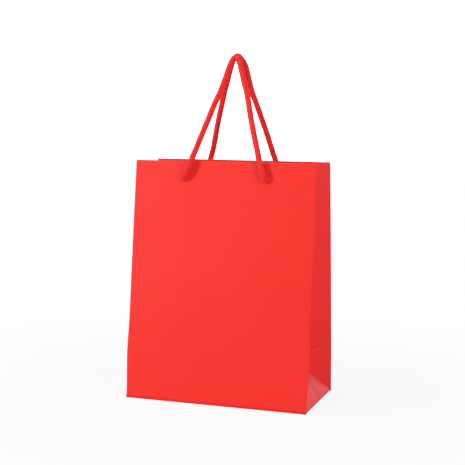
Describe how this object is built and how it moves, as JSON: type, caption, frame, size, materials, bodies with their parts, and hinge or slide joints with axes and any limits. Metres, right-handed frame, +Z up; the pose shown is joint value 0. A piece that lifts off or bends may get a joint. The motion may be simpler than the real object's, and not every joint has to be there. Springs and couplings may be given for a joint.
{
  "type": "paper gift bag",
  "caption": "Plain red paper carrier bag for gifts, with inward-folding side gussets, a board in the base and knotted soft cord handles.",
  "frame": {"origin": "middle of the underside, on the surface the bag stands on", "axes": "+Z up to the handles, +X along the wide front panel to the right, front panel faces -Y"},
  "size_m": [0.18, 0.1, 0.33],
  "materials": {
    "paper": "satin laminate, plain red",
    "card": "plain grey-white board",
    "cord": "soft twisted cotton cord, red"
  },
  "bodies": {
    "base": {"left_bottom_flap": "paper", "right_bottom_flap": "paper", "front_bottom_flap": "paper", "back_bottom_flap": "paper", "base_board": "card"},
    "front_wall": {"front_panel": "paper", "front_hem": "paper", "front_top_card": "card", "front_left_knot": "cord", "front_right_knot": "cord"},
    "back_wall": {"back_panel": "paper", "back_hem": "paper", "back_top_card": "card", "back_left_knot": "cord", "back_right_knot": "cord", "seam_tab": "paper"},
    "front_left_gusset": {"front_left_gusset": "paper", "front_left_gusset_hem": "paper"},
    "front_right_gusset": {"front_right_gusset": "paper", "front_right_gusset_hem": "paper"},
    "back_left_gusset": {"back_left_gusset": "paper", "back_left_gusset_hem": "paper"},
    "back_right_gusset": {"back_right_gusset": "paper", "back_right_gusset_hem": "paper"},
    "left_base_fold": {"left_base_fold": "paper"},
    "right_base_fold": {"right_base_fold": "paper"},
    "front_handle": {"front_handle": "cord"},
    "back_handle": {"back_handle": "cord"}
  },
  "joints": [
    {"name": "front_wall_fold", "type": "hinge", "parent": "base", "child": "front_wall", "pos_m": [0, -0.05, 0], "axis": [1, 0, 0], "range_deg": [0, 3.5]},
    {"name": "back_wall_fold", "type": "hinge", "parent": "base", "child": "back_wall", "pos_m": [0, 0.05, 0], "axis": [-1, 0, 0], "range_deg": [0, 3.5]},
    {"name": "front_left_gusset_fold", "type": "hinge", "parent": "front_wall", "child": "front_left_gusset", "pos_m": [-0.09, -0.05, 0], "axis": [0, 0.1, 0.995], "range_deg": [0, 23.2]},
    {"name": "front_right_gusset_fold", "type": "hinge", "parent": "front_wall", "child": "front_right_gusset", "pos_m": [0.09, -0.05, 0], "axis": [0, -0.1, -0.995], "range_deg": [0, 23.2]},
    {"name": "back_left_gusset_fold", "type": "hinge", "parent": "back_wall", "child": "back_left_gusset", "pos_m": [-0.09, 0.05, 0], "axis": [0, 0.1, -0.995], "range_deg": [0, 23.2]},
    {"name": "back_right_gusset_fold", "type": "hinge", "parent": "back_wall", "child": "back_right_gusset", "pos_m": [0.09, 0.05, 0], "axis": [0, -0.1, 0.995], "range_deg": [0, 23.2]},
    {"name": "left_base_fold_turn", "type": "hinge", "parent": "base", "child": "left_base_fold", "pos_m": [-0.09, 0, 0], "axis": [0, -1, 0], "range_deg": [0, 9.4]},
    {"name": "right_base_fold_turn", "type": "hinge", "parent": "base", "child": "right_base_fold", "pos_m": [0.09, 0, 0], "axis": [0, 1, 0], "range_deg": [0, 9.4]},
    {"name": "front_handle_swing", "type": "hinge", "parent": "front_wall", "child": "front_handle", "pos_m": [0.001, -0.03193, 0.21226], "axis": [1, 0, 0], "range_deg": [0, 170]},
    {"name": "back_handle_swing", "type": "hinge", "parent": "back_wall", "child": "back_handle", "pos_m": [0, 0.03193, 0.21226], "axis": [-1, 0, 0], "range_deg": [0, 170]}
  ],
  "couplings": [
    {"joint": "back_wall_fold", "follows": "front_wall_fold", "ratio": 1},
    {"joint": "front_left_gusset_fold", "follows": "front_wall_fold", "ratio": 6.6},
    {"joint": "front_right_gusset_fold", "follows": "front_wall_fold", "ratio": 6.6},
    {"joint": "back_left_gusset_fold", "follows": "front_wall_fold", "ratio": 6.6},
    {"joint": "back_right_gusset_fold", "follows": "front_wall_fold", "ratio": 6.6},
    {"joint": "left_base_fold_turn", "follows": "front_wall_fold", "ratio": 2.66},
    {"joint": "right_base_fold_turn", "follows": "front_wall_fold", "ratio": 2.66}
  ]
}
